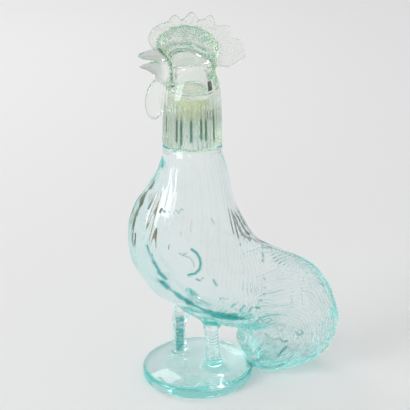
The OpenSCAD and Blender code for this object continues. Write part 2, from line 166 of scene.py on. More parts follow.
# rows: height, front, back, where the widest place lies between them, half width, pointedness of the back
body_rows = np.array([
    (2.0, 48.0, 75.8, 0.5, 12.0, 1.0), (4.05, 44.0, 87.8, 0.47, 16.5, 1.0),
    (7.33, 42.0, 97.8, 0.45, 19.5, 1.1), (12.66, 40.0, 108.9, 0.46, 21.75, 1.2),
    (20.04, 36.0, 115.3, 0.48, 23.5, 1.3), (29.47, 33.0, 117.8, 0.5, 24.5, 1.3),
    (36.85, 34.0, 119.1, 0.49, 25.0, 1.3), (40.95, 33.0, 119.7, 0.49, 25.0, 1.3),
    (44.3, 30.0, 119.7, 0.5, 25.0, 1.3), (46.6, 21.0, 119.3, 0.52, 25.0, 1.3),
    (49.8, 6.0, 118.4, 0.54, 25.5, 1.3), (54.2, -5.1, 117.1, 0.53, 26.5, 1.3),
    (67.15, -21.0, 113.0, 0.443, 31.0, 1.3), (78.9, -36.0, 106.8, 0.396, 35.0, 1.3),
    (92.9, -45.8, 95.3, 0.385, 38.0, 1.3), (104.2, -52.3, 73.9, 0.413, 39.3, 1.3),
    (109.0, -53.9, 64.7, 0.44, 39.5, 1.3), (115.5, -55.0, 53.6, 0.475, 39.5, 1.3),
    (123.0, -55.3, 46.3, 0.497, 39.0, 1.2), (133.2, -55.2, 40.0, 0.503, 37.8, 1.1),
    (150.9, -50.5, 31.7, 0.505, 34.0, 1.0), (166.2, -40.8, 27.4, 0.5, 30.0, 1.0),
    (183.1, -31.1, 23.9, 0.5, 26.4, 1.0), (197.0, -27.1, 20.1, 0.5, 23.6, 1.0),
    (201.4, -27.1, 20.1, 0.5, 23.6, 1.0), (203.4, -26.2, 19.2, 0.5, 22.7, 1.0),
    (204.0, -24.5, 17.5, 0.5, 21.0, 1.0),
])
hollow_rows = np.array([
    (11, 60, 90, 0.5, 8, 1.2), (15, 53, 98, 0.5, 13, 1.2), (22, 48, 107, 0.5, 17, 1.3),
    (32, 44.5, 111.5, 0.5, 19, 1.3), (40, 43, 113.5, 0.5, 19.5, 1.3), (46, 40, 113.5, 0.5, 19.8, 1.3),
    (50, 32.5, 113, 0.5, 20.2, 1.3), (54.5, 19.5, 112, 0.5, 21, 1.3), (59, 7.5, 110.5, 0.5, 22.5, 1.3),
    (64, -2, 108.5, 0.48, 24.8, 1.3), (70, -11.3, 106.2, 0.45, 27, 1.3),
    (77.5, -20.3, 102.2, 0.42, 29.5, 1.3),
    (86, -27.8, 96, 0.4, 31.8, 1.3), (95, -34, 86, 0.4, 33.6, 1.3), (103, -39, 70, 0.43, 34.6, 1.3),
    (110, -42, 57.5, 0.46, 34.9, 1.3), (117, -43.7, 47, 0.485, 35, 1.25), (123, -44.5, 41, 0.497, 34.6, 1.2),
    (131, -44.8, 36.3, 0.503, 33.6, 1.1), (140, -43.8, 32, 0.504, 31.9, 1.05),
    (151, -41, 27.4, 0.505, 29.7, 1),
    (166, -33, 22.9, 0.5, 25.5, 1), (183, -25.6, 19.6, 0.5, 22.3, 1), (193, -23.3, 16.8, 0.5, 20.1, 1),
    (199, -22.4, 16, 0.5, 19.4, 1), (201.2, -21.2, 14.4, 0.5, 17.9, 1), (202.3, -18.5, 11.5, 0.5, 15, 1),
    (202.7, -13, 6, 0.5, 9.5, 1),
], float)


def smooth_min(a, b, k):
    """The smaller of two distances, with the corner between them filled over about k."""
    h = np.clip(0.5 + 0.5 * (b - a) / k, 0, 1)
    return b + (a - b) * h - k * h * (1 - h)


def smooth_max(a, b, k):
    return -smooth_min(-a, -b, k)


def row_curve(rows, z):
    """Smooth values of the rows at heights z, without swings past the rows."""
    heights = rows[:, 0]
    gap = np.diff(heights)
    rise = np.diff(rows, axis=0) / gap[:, None]
    lean = np.zeros_like(rows)
    lean[0], lean[-1] = rise[0], rise[-1]
    both = rise[:-1] * rise[1:]
    total = rise[:-1] + rise[1:]
    lean[1:-1] = np.where(both > 0, 2 * both / np.where(both > 0, total, 1), 0)
    i = np.clip(np.searchsorted(heights, z, side="right") - 1, 0, len(heights) - 2)
    t = (z - heights[i]) / gap[i]
    values = []
    for column in range(1, rows.shape[1]):
        low, high = rows[i, column], rows[i + 1, column]
        low_lean, high_lean = lean[i, column] * gap[i], lean[i + 1, column] * gap[i]
        values.append(
            low * (2 * t**3 - 3 * t**2 + 1)
            + high * (3 * t**2 - 2 * t**3)
            + low_lean * (t**3 - 2 * t**2 + t)
            + high_lean * (t**3 - t**2)
        )
    return values


# the very small numbers below keep roots and slopes finite on the axis
def egg(rows, x, y, z):
    """Below 0 inside a stack of sections, round in front and maybe pointed behind, with its slopes."""
    front, back, mid, wide, point = row_curve(rows, np.clip(z, rows[0, 0], rows[-1, 0]))
    m = front + mid * (back - front)
    behind = x > m
    reach = np.where(behind, back - m, m - front)
    power = np.where(behind, 1 / point, 1.0)
    u = (x - m) / reach
    v = ((y / wide) ** 2 + 1e-12) ** power
    q = np.sqrt(u**2 + v + 1e-9)
    return q - 1, u / reach / q, power * v / (np.abs(y) + 1e-3) / q


def loft(rows, x, y, z):
    """Roughly the distance to the skin of such a stack and to its flat ends."""
    probe = 0.05
    f, fx, fy = egg(rows, x, y, z)
    fz = (egg(rows, x, y, z + probe)[0] - f) / probe
    f = f / np.sqrt(fx**2 + fy**2 + fz**2 + 1e-6)
    return smooth_max(f, np.maximum(rows[0, 0] - z, z - rows[-1, 0]), 2.0)


def slopes(field, points):
    """Slope of the field along each axis at the points."""
    probe = 0.02
    steps = np.eye(3) * probe
    return np.stack([(field(*(points + s).T) - field(*(points - s).T)) / (2 * probe) for s in steps], 1)


def settle(field, points, reach):
    """Points moved onto the skin where the field is 0, with the outward normals there."""
    slope = slopes(field, points)
    for _ in range(2):
        step = np.clip(field(*points.T), -reach, reach) / np.maximum((slope**2).sum(1), 0.3)
        points = points - step[:, None] * slope
    slope = slopes(field, points)
    return points, slope / np.linalg.norm(slope, axis=1)[:, None]


def glass_skin(name, field, low, high, pitch):
    """New object with a closed quad mesh where the field is 0, and its points and outward normals."""
    low = np.array(low, float)
    band = 3 * pitch
    axes = [np.arange(a, b + pitch, pitch) for a, b in zip(low, high)]
    values = field(*np.meshgrid(*axes, indexing="ij", sparse=True))
    grid = openvdb.FloatGrid(band)
    grid.copyFromArray(np.clip(values, -band, band).astype(np.float32))
    points, quads = grid.convertToQuads(0.0)
    points, normals = settle(field, points.astype(float) * pitch + low, pitch)
    mesh = bpy.data.meshes.new(name)
    mesh.vertices.add(len(points))
    mesh.loops.add(quads.size)
    mesh.loops.foreach_set("vertex_index", quads.astype(np.int32).ravel())
    mesh.polygons.add(len(quads))
    mesh.polygons.foreach_set("loop_start", np.arange(0, quads.size, 4, dtype=np.int32))
    mesh.vertices.foreach_set("co", (points * MM).astype(np.float32).ravel())
    mesh.update(calc_edges=True)
    mesh.validate()
    piece = bpy.data.objects.new(name, mesh)
    scene.collection.objects.link(piece)
    return piece, points, normals


def finer(piece, field, chosen, reach):
    """Halves the faces whose corners are all chosen, and gives the mesh's points and normals anew."""
    work = bmesh.new()
    work.from_mesh(piece.data)
    faces = [face for face in work.faces if all(chosen[v.index] for v in face.verts)]
    edges = list(dict.fromkeys(edge for face in faces for edge in face.edges))
    bmesh.ops.subdivide_edges(work, edges=edges, cuts=1, use_grid_fill=True)
    bmesh.ops.triangulate(work, faces=[face for face in work.faces if len(face.verts) > 4])
    work.to_mesh(piece.data)
    work.free()
    points = np.empty(3 * len(piece.data.vertices), np.float32)
    piece.data.vertices.foreach_get("co", points)
    return settle(field, points.reshape(-1, 3).astype(float) / MM, reach)


def set_points(piece, points):
    """Puts the mesh's points in place and shades it smooth."""
    piece.data.vertices.foreach_set("co", (points * MM).astype(np.float32).ravel())
    piece.data.polygons.foreach_set("use_smooth", np.ones(len(piece.data.polygons), bool))
    piece.data.update()


def paint(piece, name, values):
    """Keeps a value for each point of the mesh, for its material."""
    piece.data.attributes.new(name, "FLOAT", "POINT").data.foreach_set("value", values.astype(np.float32))


def rod(a, b, radii, x, y, z):
    """A round bar from a to b that tapers between two radii."""
    a, b = np.array(a, float), np.array(b, float)
    d = b - a
    t = np.clip(((x - a[0]) * d[0] + (y - a[1]) * d[1] + (z - a[2]) * d[2]) / (d @ d), 0, 1)
    out = np.sqrt((x - a[0] - t * d[0]) ** 2 + (y - a[1] - t * d[1]) ** 2 + (z - a[2] - t * d[2]) ** 2)
    return out - radii[0] - t * (radii[1] - radii[0])


def bottle_hollow(x, y, z):
    """Below 0 where the drink goes, in the body and in the neck's bore."""
    bore = np.maximum(np.sqrt((x - neck_x) ** 2 + y**2 + 1e-9) - bore_r, bore_low - z)
    return smooth_min(loft(hollow_rows, x, y, z), bore, 2.0)


def bottle_glass(x, y, z):
    """Below 0 in the bottle's glass."""
    out = np.sqrt(x**2 + y**2 + 1e-9)
    dome = np.sqrt(x**2 + y**2 + (z - base_top + base_dome_r) ** 2) - base_dome_r
    base = smooth_max(smooth_max(dome, out - base_r, 3.0), -z, 1.0)
    rings = np.abs(np.sin(np.pi * (z - ring_z) / ring_pitch))
    rings = rings * np.clip(np.minimum(z - ring_low, ring_high - z) / ring_fade, 0, 1)
    flare = foot_flare * np.clip(1 - (z - foot_z) / foot_high, 0, 1) ** 3
    near_leg = rod(near_foot, near_hip, near_radii, x, y, z)
    far_leg = rod(far_foot, far_hip, far_radii, x, y, z)
    far_leg = smooth_min(far_leg, rod(far_knee, far_thigh, thigh_radii, x, y, z), 4.0)
    solid = smooth_min(loft(body_rows, x, y, z), base, 2.5)
    solid = smooth_min(solid, near_leg - near_ring * rings - flare, 7.0)
    solid = smooth_min(solid, far_leg - far_ring * rings - flare, 4.0)
    from_neck = np.sqrt((x - neck_x) ** 2 + y**2 + 1e-9)
    lip = lip_out * np.clip(1 - ((z - lip_z) / lip_half) ** 4, 0, 1)
    neck = smooth_max(from_neck - neck_r - lip, np.maximum(z - rim_z, neck_low - z), 1.0)
    solid = smooth_min(solid, neck, 2.5)
    return smooth_max(solid, -bottle_hollow(x, y, z), 1.0)


def stroke(x, z, path, wide):
    """1 on a line drawn on the bird's side, down to 0 beside it."""
    near = np.full(x.shape, 1e9)
    for (ax, az), (bx, bz) in zip(path[:-1], path[1:]):
        dx, dz = bx - ax, bz - az
        t = np.clip(((x - ax) * dx + (z - az) * dz) / (dx * dx + dz * dz), 0, 1)
        near = np.minimum(near, (x - ax - t * dx) ** 2 + (z - az - t * dz) ** 2)
    return np.exp(-near / wide**2)


def ease(low, high, v):
    """0 at low and 1 at high, with a soft start and end. High may be the smaller of the two."""
    t = np.clip((v - low) / (high - low), 0, 1)
    return t * t * (3 - 2 * t)


pebble_heights = np.random.default_rng(5).uniform(-1, 1, (64, 64, 64))


def pebbles(points, size):
    """Smooth random heights from -1 to 1, a new one at each grid step of this size."""
    at = points / size
    cell = np.floor(at).astype(int)
    t = at - cell
    t = t * t * (3 - 2 * t)
    total = 0
    for corner in np.ndindex(2, 2, 2):
        weight = np.prod(np.where(np.array(corner) == 1, t, 1 - t), axis=1)
        i = (cell + corner) % len(pebble_heights)
        total = total + weight * pebble_heights[i[:, 0], i[:, 1], i[:, 2]]
    return total


# marks pressed into both wings: depth, half width and the line in the side view
wing_marks = [
    (1.0, 1.1, (
        (-9.5, 130), (-5.8, 127), (-3.4, 122.5), (-2.6, 118), (-3.6, 113), (-7, 109.6), (-12, 108.4))),
    (0.5, 0.6, ((-16, 125), (-11.5, 123.5), (-8.5, 119.5), (-7.8, 116))),
    (0.5, 0.7, ((-32, 157.5), (-30.5, 160), (-29, 158.5))),
    (0.5, 0.7, ((-22, 158), (-20.5, 160.5), (-18.5, 158.2), (-16.5, 161.5), (-15, 160.5))),
    (0.5, 0.8, ((-19, 127), (-16.5, 125.5), (-14, 127))),
    (0.5, 0.8, ((-6, 105), (-3, 103.5), (-1, 105.5))),
    (0.7, 1.0, ((7.5, 103), (10, 98))),
    (0.4, 0.8, ((7, 152), (9, 148))),
    (0.9, 1.1, ((52, 117), (50, 109))),
    (0.8, 1.0, ((50, 98), (48.5, 92), (50.5, 90))),
    (0.8, 1.0, ((49, 85), (47, 79))),
    (0.8, 1.0, ((45, 79), (43, 73), (46, 72))),
    (0.8, 1.0, ((40, 74), (37, 69))),
    (0.7, 1.0, ((33, 76), (30, 71))),
    (0.6, 1.0, ((27, 80), (23, 77))),
    (0.5, 1.0, ((19, 85), (14, 85.5))),
    (0.6, 0.9, ((40, 66), (34, 64))),
]
far_side_marks, broken_from_x = 0.25, 12


# each kind of plumage gives its height over the plain skin, and how much painted shade deepens the skin
# there to teal
def wing_marking(points, normals):
    """The pressed marks, weaker on the far side, with painted shade in them that is broken up behind the
    legs.
    """
    x, y, z = points.T
    side = ease(0.2, 0.6, np.abs(normals[:, 1])) * np.where(y < 0, 1, far_side_marks)
    marks = side * sum(depth * stroke(x, z, path, wide) for depth, wide, path in wing_marks)
    broken = np.where(x > broken_from_x, ease(-0.5, 0.4, pebbles(points, 3)), 1)
    return -marks, broken * np.clip(1.3 * marks, 0, 1)


def hackles(points, normals):
    """Soft upright ripples on neck and breast that fade towards the mould's parting, with painted shade on
    their crests.
    """
    x, y, z = points.T
    turn = np.arctan2(y, x + 5)
    ripple = np.sin(turn * 46 + 2.2 * np.sin(z / 15) + np.sin(turn * 9))
    ripple = ripple * (0.5 + 0.5 * np.sin(turn * 17 + z / 21))
    zone = ease(95, 130, z) * ease(203, 192, z)
    zone = zone * ease(0.3, 0.7, np.abs(normals[:, 1])) * ease(0.9, 0.65, normals[:, 0])
    high = (0.14 + 0.16 * ease(0, -20, x)) * ripple * zone
    return high, 0.1 * zone * np.clip(ripple, 0, 1) * ease(-25, 5, x)


def wing_quills(points, normals):
    """Long faint quills on the wings, with painted shade along their crests."""
    x, _, z = points.T
    quill_pitch = 3.3
    quill = np.sin(2 * np.pi * (x + 2.5 * np.sin(z / 14) + 1.2 * np.sin(z / 5.3 + x / 9)) / quill_pitch)
    zone = ease(-4, 12, x) * ease(54, 46, x) * ease(64, 74, z) * ease(140, 115, z)
    zone = zone * ease(0.2, 0.6, np.abs(normals[:, 1])) * ease(0.8, 0.5, normals[:, 0])
    patchy = 0.4 + 0.6 * np.sin(z / 6 + x / 4) ** 2
    return 0.2 * quill * zone * patchy, 0.18 * zone * np.clip(quill, 0, 1) ** 2 * patchy


# the tail's strands run round a whorl low on its front
whorl_x, whorl_z = 58, 42
blade_pitch, barb_pitch, rib_pitch, blade_end_degrees = 9.5, 2.4, 3.1, 21
# raised blades at the foot of the tail, and the curls that the mould cuts between them with their half width
tail_blades = [
    ((37.5, 31), (40.4, 45), (46, 56)), ((39.5, 21), (44.8, 33), (51.7, 44.3)),
    ((44.7, 18), (51, 29.4), (57.2, 34)), ((51.6, 17), (57.5, 25.2), (62.8, 31.4)),
    ((59.6, 15), (67.3, 22.5), (73.5, 32)), ((71, 15), (79, 23.6), (82, 31)),
]
tail_curls = [
    (0.9, ((53.5, 42), (57, 38.8), (60.2, 37.1), (64.2, 39), (67.6, 35.2), (70.8, 36))),
    (0.9, ((78.2, 43.8), (80.8, 40.7), (84.3, 42), (82.5, 44.9))),
    (1.4, ((45.9, 12.5), (49.3, 16.5), (54.6, 18.8))), (1.0, ((52.9, 8.4), (61.6, 8.4), (70.3, 12.8))),
    (1.2, ((64, 22.5), (67.1, 26.5), (70.2, 30.3))), (1.1, ((85, 22.5), (91, 16.7), (98, 17))),
    (0.8, ((47, 62), (50, 57), (54, 55), (57, 58), (55, 61))),
    (0.8, ((61, 50), (65, 53), (69, 50), (66, 46))),
]


def round_whorl(points):
    """Distance from the whorl and angle round it, in the side view."""
    dx, dz = points[:, 0] - whorl_x, points[:, 2] - whorl_z
    return np.hypot(dx, dz), np.arctan2(dz, dx)


def in_tail(points, normals):
    """1 in the tail, and 1 on its flat sides."""
    x, _, z = points.T
    tail = ease(38, 50, x - 0.25 * np.maximum(60 - z, 0)) * ease(112, 100, z - 0.15 * (x - 60))
    tail = tail * ease(5, 12, z)
    return tail, ease(0.35, 0.7, np.abs(normals[:, 1])) * tail


def tail_strands(points, normals):
    """Long wavy strands with barbs, and loose curls near the whorl, with painted shade between the barbs, at
    the blades' ends and in the curls.
    """
    x, y, z = points.T
    out, turn = round_whorl(points)
    _, flat = in_tail(points, normals)
    along = np.stack([out, 14 * turn, 0.4 * y], 1)
    spiral = out + 3.2 * turn + 3.5 * pebbles(points, 15) + 0.8 * pebbles(along, 4)
    blade = spiral / blade_pitch - np.floor(spiral / blade_pitch)
    barb = np.sin(2 * np.pi * spiral / barb_pitch)
    strand = ease(-0.5, 0.4, pebbles(along + 40, 3.2))
    curl = ease(30, 14, np.hypot(x - whorl_x - 4, 1.2 * (z - whorl_z + 4))) * flat
    high = flat * (0.5 * (blade * ease(1, 0.86, blade) - 0.5) + 0.24 * barb * strand)
    high = high + 0.9 * curl * pebbles(points, 4.5)
    deep = flat * (0.02 + 0.2 * ease(0.2, 1, -barb) * strand + 0.2 * ease(0.84, 0.97, blade) * strand)
    return high, deep + 0.12 * curl * ease(0.3, 0.6, pebbles(points + 20, 4.5))


def tail_foot(points, normals):
    """The raised blades with a painted shadow line below each, and the curls cut between them, filled with
    painted shade.
    """
    x, _, z = points.T
    side = ease(0.1, 0.4, np.abs(normals[:, 1]))
    raised = side * sum(stroke(x, z, path, 1.5) for path in tail_blades)
    below = side * sum(stroke(x + 1.6, z - 0.8, path, 0.8) for path in tail_blades)
    cut = side * sum(stroke(x, z, path, wide) for wide, path in tail_curls)
    cut = cut * (0.7 + 0.5 * pebbles(points, 4))
    return 0.9 * raised - 0.7 * cut, 0.25 * below + cut


def tail_edges(points, normals):
    """Fine ribs round the tail's edge, and blade ends that step along its lower edge, with painted shade in
    the ribs' hollows and at the steps.
    """
    x, y, z = points.T
    _, turn = round_whorl(points)
    tail, flat = in_tail(points, normals)
    rib = np.sin(2 * np.pi * (57 * turn - 0.9 * np.abs(y)) / rib_pitch)
    edge = ease(0.75, 0.4, np.abs(normals[:, 1])) * ease(-0.05, -0.4, normals[:, 2])
    edge = edge * ease(44, 50, x) * ease(1, 4, z)
    step = np.degrees(turn) / blade_end_degrees - 0.3
    step = step - np.floor(step)
    notch = step * ease(1, 0.9, step)
    high = (tail - flat) * 0.45 * rib - edge * 2.2 * notch
    return high, (tail - flat) * 0.04 * ease(0, 0.8, -rib) + edge * 0.6 * notch**3


def chisel_marks(points, normals):
    """Coarse marks of the mould's chisel under the body, between the legs and the tail."""
    x, y, z = points.T
    chisel_pitch = 4.6
    under = ease(-0.4, -0.7, normals[:, 2]) * ease(8, 16, x) * ease(36, 44, z)
    return 0.35 * under * np.sin(2 * np.pi * (x + 0.35 * y + 2 * np.sin(y / 6)) / chisel_pitch), 0 * under


def plumage(points, normals):
    """Height and painted shade of all the plumage together."""
    kinds = (wing_marking, hackles, wing_quills, tail_strands, tail_foot, tail_edges, chisel_marks)
    heights, depths = zip(*(kind(points, normals) for kind in kinds))
    return sum(heights), np.clip(sum(depths), 0, 1)


# painted shade: dark lines on the near skin that stand in for the edge of the hollow's floor seen through
# the glass: strength, half width and the line in the side view
belly_shade_lines = [
    (1.6, 1.0, ((-43, 129.5), (-41, 123.5), (-38.5, 117.5))), (2.2, 1.3, ((-38.5, 117.5), (-34.5, 110))),
    (2.6, 1.5, ((-34.5, 108.5), (-29.5, 103.5))), (4.5, 1.9, ((-32.3, 99.5), (-27.5, 94))),
    (3.2, 1.3, ((-27.5, 94), (-20, 88))), (4.0, 1.9, ((-20, 87.5), (-10, 79.5))),
    (3.0, 1.2, ((-10, 79), (4, 70))), (3.4, 2.6, ((5, 69.3), (12, 66.6))),
    (5.0, 3.6, ((12, 66), (20, 63.8), (26, 63.4))), (2.2, 1.3, ((26, 63), (38, 60.8))),
]
far_leg_x, far_leg_y, far_core_x = -13, 14, -13.4


def thick_colour_and_painted_shade(points, normals):
    """Painted shade on the near side, in the far leg's core and the belly's lines, and deeper colour where
    thick glass piles it up at the base's rim and the tail's foot.
    """
    x, y, z = points.T
    # painted shade: the far leg's dark core, on its near side, with its rings
    leg = ease(10, 8, np.hypot(x - far_leg_x, y - far_leg_y)) * ease(14, 17, z) * ease(53, 46, z)
    leg = leg * ease(0.5, 0.1, normals[:, 1]) * ease(4.2, 2.6, np.abs(x - far_core_x))
    ring = 0.5 + 0.5 * np.cos(2 * np.pi * (z - ring_z) / ring_pitch)
    deep = leg * np.clip(0.8 + 0.3 * ring + 0.5 * pebbles(points + 4, 2.2), 0, 1)
    # painted shade on the near side only: the belly's dark lines
    near = ease(0, 0.15, -normals[:, 1])
    uneven = 0.6 + 0.5 * pebbles(points + 9, 5)
    for strength, wide, path in belly_shade_lines:
        deep = np.maximum(deep, near * np.clip(strength * uneven * stroke(x, z, path, wide), 0, 1))
    base_rim = ease(base_r - 2, base_r - 0.5, np.hypot(x, y)) * ease(1, 3, z) * ease(11, 8, z)
    tail_joint = ease(6, 3, np.hypot(x - 43.5, 1.4 * (z - 7))) * (y < 8)
    return np.maximum(np.maximum(deep, 0.12 * base_rim), 0.8 * tail_joint)


def near_marks(points, wide):
    """Above 0 close to a wing mark."""
    return sum(stroke(points[:, 0], points[:, 2], path, wide) for _, _, path in wing_marks)


bottle_pitch, mark_reach, bottle_box = 1.1, 0.6, ((-58, -49, -3), (123, 49, 247))
bottle, points, normals = glass_skin("aqua_bottle", bottle_glass, *bottle_box, bottle_pitch)
outside = bottle_hollow(*points.T) > 1.5
legs = (points[:, 2] > 11) & (points[:, 2] < 55) & (np.abs(points[:, 0]) < 26)
tail = (points[:, 0] > 30) & (points[:, 2] > 2) & (points[:, 2] < 130)
detailed = outside & (tail | legs | (near_marks(points, 2.2) > 0.1))
points, normals = finer(bottle, bottle_glass, detailed, bottle_pitch)
near_side = (bottle_hollow(*points.T) > 1.5) & (points[:, 1] < 0) & (normals[:, 1] < -0.2)
points, normals = finer(bottle, bottle_glass, near_side & (near_marks(points, 1.8) > 0.12), mark_reach)
outside = ease(0.8, 2.5, bottle_hollow(*points.T))
high, deep = plumage(points, normals)
# the deeper teal painted here is painted shade, and thick glass's deeper colour at the base's rim and the
# tail's foot
paint(bottle, "deep", outside * np.maximum(deep, thick_colour_and_painted_shade(points, normals)))
points = points + (outside * high)[:, None] * normals
points[:, 2] = np.maximum(points[:, 2], 0)
set_points(bottle, points)


def wire(tree, links):
    """Joins the node tree's sockets, from each source to its target."""
    for source, target in links:
        tree.links.new(source, target)


# what every moulded skin here has: its plain colour and the deeper colour of its painted shade, a little
# haze and a fine waviness
mould_skin = bpy.data.node_groups.new("mould_skin", "ShaderNodeTree")
for name, kind in (("Plain", "Color"), ("Deep", "Color"), ("Haze", "Float"), ("Wave Size", "Float")):
    mould_skin.interface.new_socket(name, in_out="INPUT", socket_type="NodeSocket" + kind)
for name, kind in (("Colour", "Color"), ("Roughness", "Float"), ("Height", "Float")):
    mould_skin.interface.new_socket(name, in_out="OUTPUT", socket_type="NodeSocket" + kind)
given, put = mould_skin.nodes.new("NodeGroupInput"), mould_skin.nodes.new("NodeGroupOutput")
# the point attribute 'deep' says where the painted shade goes
depth = mould_skin.nodes.new("ShaderNodeAttribute")
depth.attribute_name = "deep"
colour = mould_skin.nodes.new("ShaderNodeMix")
colour.data_type = "RGBA"
place = mould_skin.nodes.new("ShaderNodeTexCoord")
wave = mould_skin.nodes.new("ShaderNodeTexNoise")
wave.inputs["Detail"].default_value = 2.0
haze = mould_skin.nodes.new("ShaderNodeMath")
haze.operation = "MULTIPLY"
wire(mould_skin, (
    (depth.outputs["Fac"], colour.inputs["Factor"]), (given.outputs["Plain"], colour.inputs["A"]),
    (given.outputs["Deep"], colour.inputs["B"]), (colour.outputs["Result"], put.inputs["Colour"]),
    (place.outputs["Object"], wave.inputs["Vector"]), (given.outputs["Wave Size"], wave.inputs["Scale"]),
    (wave.outputs["Fac"], put.inputs["Height"]), (wave.outputs["Fac"], haze.inputs[0]),
    (given.outputs["Haze"], haze.inputs[1]), (haze.outputs["Value"], put.inputs["Roughness"]),
))


def moulded(name, plain, deep, haze, wave_size, wave_high, ior):
    """New see-through material with that skin, the skin's node and the bump that gives it relief."""
    finish = bpy.data.materials.new(name)
    finish.use_nodes = True
    tree = finish.node_tree
    shader = tree.nodes["Principled BSDF"]
    shader.inputs["Transmission Weight"].default_value = 1.0
    shader.inputs["IOR"].default_value = ior
    skin = tree.nodes.new("ShaderNodeGroup")
    skin.node_tree = mould_skin
    skin.inputs["Plain"].default_value = (*plain, 1)
    skin.inputs["Deep"].default_value = (*deep, 1)
    skin.inputs["Haze"].default_value = haze
    skin.inputs["Wave Size"].default_value = wave_size
    bump = tree.nodes.new("ShaderNodeBump")
    bump.inputs["Distance"].default_value = wave_high * MM
    wire(tree, (
        (skin.outputs["Colour"], shader.inputs["Base Color"]),
        (skin.outputs["Roughness"], shader.inputs["Roughness"]),
        (skin.outputs["Height"], bump.inputs["Height"]),
        (bump.outputs["Normal"], shader.inputs["Normal"]),
    ))
    return finish, skin, bump


def tint(finish, colour, density):
    """Colour that the light takes on along its way through the thickness."""
    tree = finish.node_tree
    inside = tree.nodes.new("ShaderNodeVolumeAbsorption")
    inside.inputs["Color"].default_value = (*colour, 1)
    inside.inputs["Density"].default_value = density
    tree.links.new(inside.outputs["Volume"], tree.nodes["Material Output"].inputs["Volume"])


clear, glass_ior = (1, 1, 1), 1.5
# teal is the deeper colour that the painted shade and thick glass take on
teal, aqua_tint = (0.01, 0.3, 0.29), (0.05, 0.87, 0.83)
aqua, _, _ = moulded(
    "aqua_glass", clear, teal, haze=0.02, wave_size=60, wave_high=0.15, ior=glass_ior)
tint(aqua, aqua_tint, density=9.5)
bottle.data.materials.append(aqua)
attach(bottle, "bottle")
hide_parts("bottle")

# Stopper: a soft cream plastic moulding that is a little see-through, with a flange on the bottle's rim
# and a hollow ribbed plug in the bore. It is the CAD piece itself, with its own finish.
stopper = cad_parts["stopper"]
plug_cream, skirt_yellow, top_pale = (0.998, 0.998, 0.99), (0.95, 0.955, 0.8), (0.995, 0.995, 0.985)
skirt_radii, top_heights, crisp_degrees = (11.0, 13.0), (rim_z - 0.5, rim_z + 1), 35
cream, skin, _ = moulded(
    "cream_plastic", plug_cream, plug_cream, haze=0.3, wave_size=400, wave_high=0.05, ior=1.46)
tree = cream.node_tree
place = tree.nodes.new("ShaderNodeTexCoord")
from_axis = tree.nodes.new("ShaderNodeVectorMath")
from_axis.operation = "MULTIPLY_ADD"
from_axis.inputs[1].default_value = (1, 1, 0)
from_axis.inputs[2].default_value = (-neck_x * MM, 0, 0)
radius = tree.nodes.new("ShaderNodeVectorMath")
radius.operation = "LENGTH"
axis = tree.nodes.new("ShaderNodeSeparateXYZ")
skirt, top = tree.nodes.new("ShaderNodeMapRange"), tree.nodes.new("ShaderNodeMapRange")
for band, (low, high) in ((skirt, skirt_radii), (top, top_heights)):
    band.inputs["From Min"].default_value = low * MM
    band.inputs["From Max"].default_value = high * MM
yellow, pale = tree.nodes.new("ShaderNodeMix"), tree.nodes.new("ShaderNodeMix")
yellow.data_type = pale.data_type = "RGBA"
yellow.inputs["A"].default_value = (*plug_cream, 1)
yellow.inputs["B"].default_value = (*skirt_yellow, 1)
pale.inputs["B"].default_value = (*top_pale, 1)
wire(tree, (
    (place.outputs["Object"], from_axis.inputs[0]), (from_axis.outputs["Vector"], radius.inputs[0]),
    (radius.outputs["Value"], skirt.inputs["Value"]), (skirt.outputs["Result"], yellow.inputs["Factor"]),
    (place.outputs["Object"], axis.inputs["Vector"]), (axis.outputs["Z"], top.inputs["Value"]),
    (top.outputs["Result"], pale.inputs["Factor"]), (yellow.outputs["Result"], pale.inputs["A"]),
    (pale.outputs["Result"], skin.inputs["Plain"]),
))
stopper.data.materials.clear()
stopper.data.materials.append(cream)

# two modifiers shade its turned faces smooth and keep its edges crisp, and leave the CAD mesh's points and
# faces as they are
smooth_faces = bpy.data.node_groups.new("smooth_faces", "GeometryNodeTree")
for way in ("INPUT", "OUTPUT"):
    smooth_faces.interface.new_socket("Geometry", in_out=way, socket_type="NodeSocketGeometry")
given, put = smooth_faces.nodes.new("NodeGroupInput"), smooth_faces.nodes.new("NodeGroupOutput")
shade = smooth_faces.nodes.new("GeometryNodeSetShadeSmooth")
wire(smooth_faces, ((given.outputs[0], shade.inputs[0]), (shade.outputs[0], put.inputs[0])))
stopper.modifiers.new("smooth_faces", "NODES").node_group = smooth_faces
edges = stopper.modifiers.new("crisp_edges", "EDGE_SPLIT")
edges.split_angle = math.radians(crisp_degrees)

